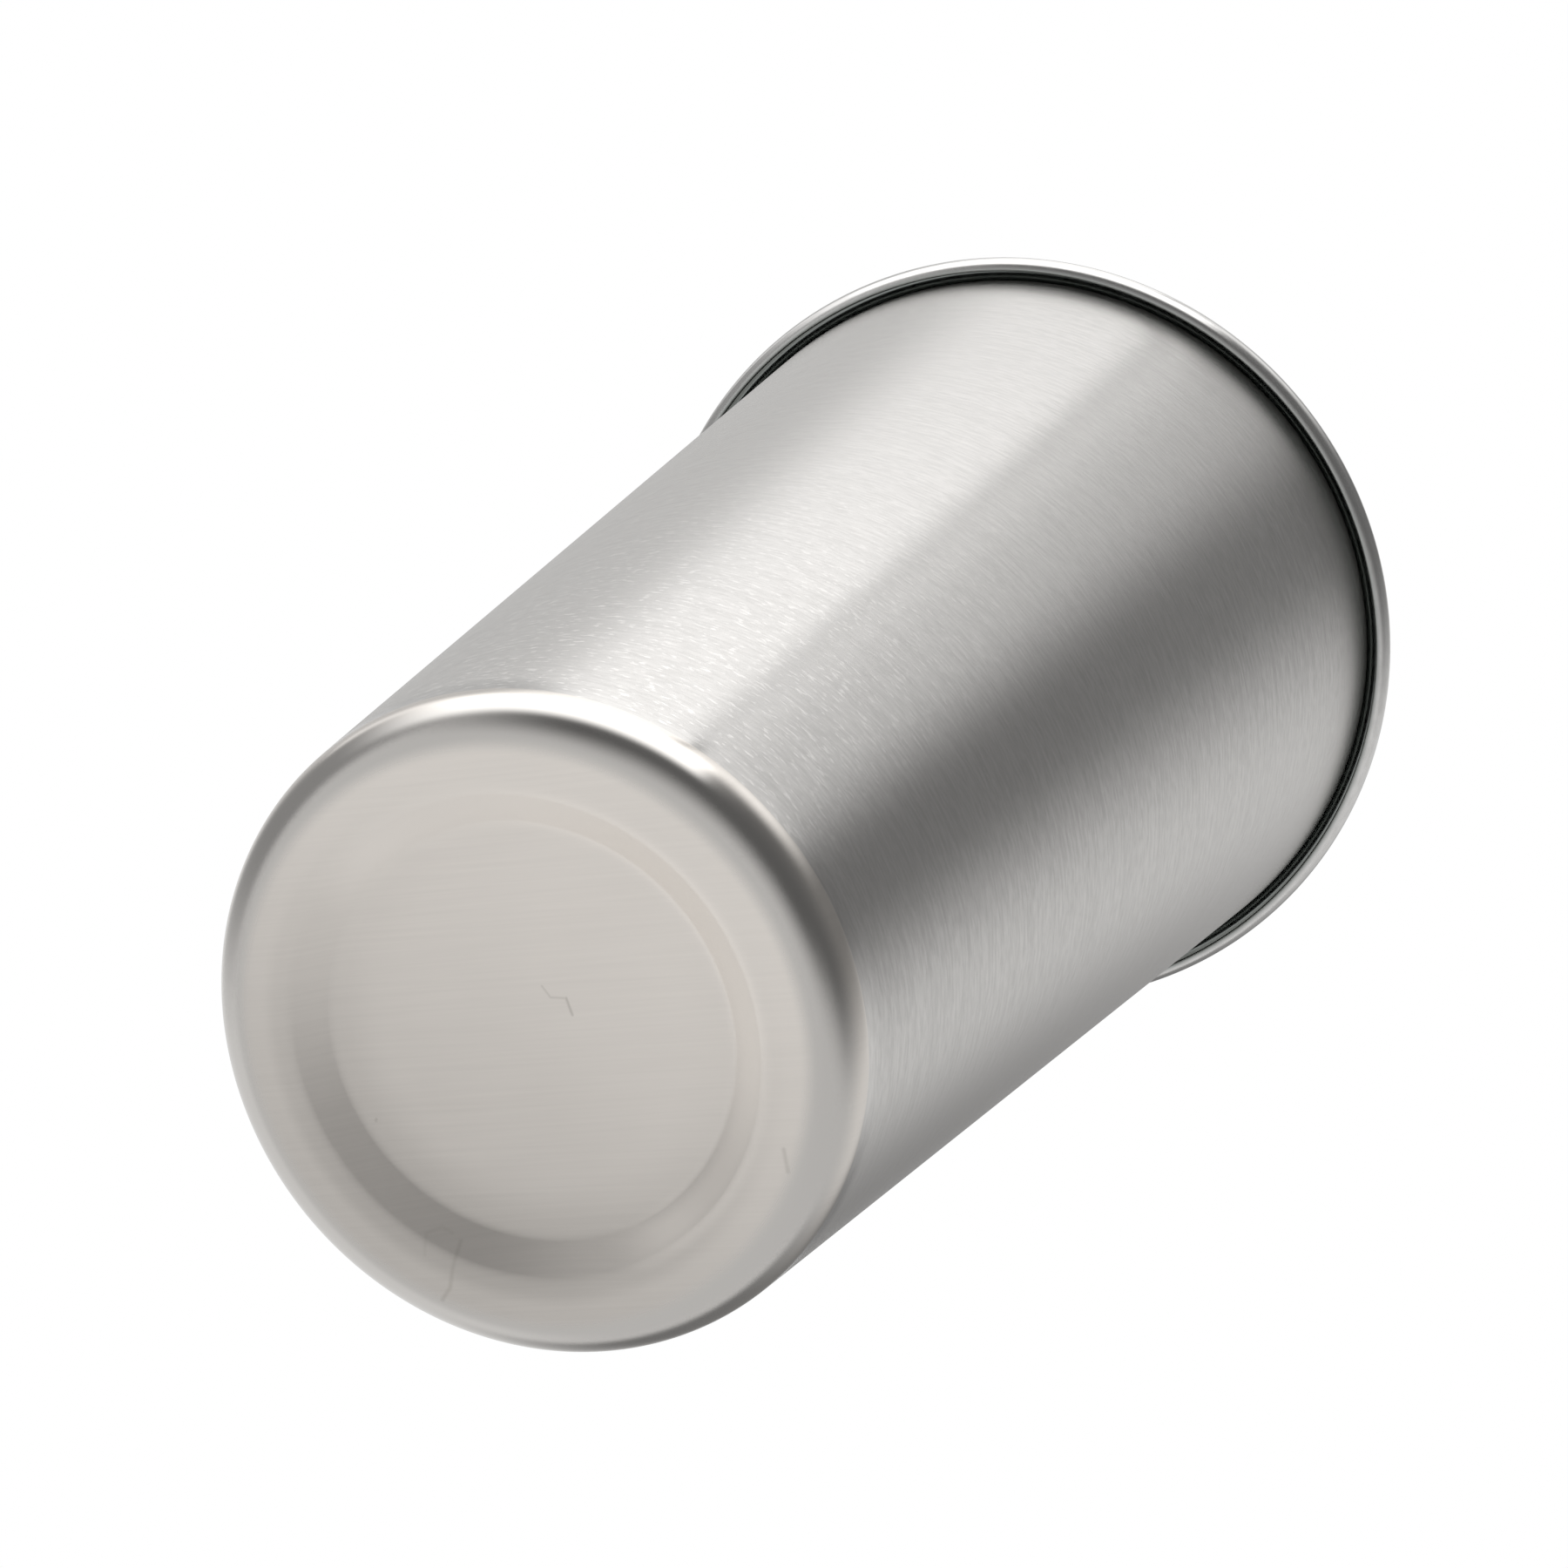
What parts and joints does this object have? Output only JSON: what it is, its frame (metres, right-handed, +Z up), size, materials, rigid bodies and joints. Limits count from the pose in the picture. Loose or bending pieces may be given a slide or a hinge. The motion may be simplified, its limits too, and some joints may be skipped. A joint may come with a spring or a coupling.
{
  "type": "stainless steel pint cup",
  "caption": "Tapered single-wall drinking cup of brushed stainless steel with a rolled rim, a rounded base corner and a shallow recess under the base.",
  "frame": {"origin": "centre of the base, on the plane that the cup stands on", "axes": "+Z up along the cup's axis, from the base to the open mouth; X and Y are equal because the cup is round"},
  "size_m": [0.088, 0.088, 0.1486],
  "materials": {
    "base_steel": "straight satin brushing across the base, brighter on the rounded corner",
    "wall_steel": "fine satin brushing that runs round the wall",
    "rim_steel": "smooth bright rolled edge"
  },
  "bodies": {
    "root": {"cup_base": "base_steel", "cup_wall": "wall_steel", "rolled_rim": "rim_steel"}
  },
  "joints": []
}
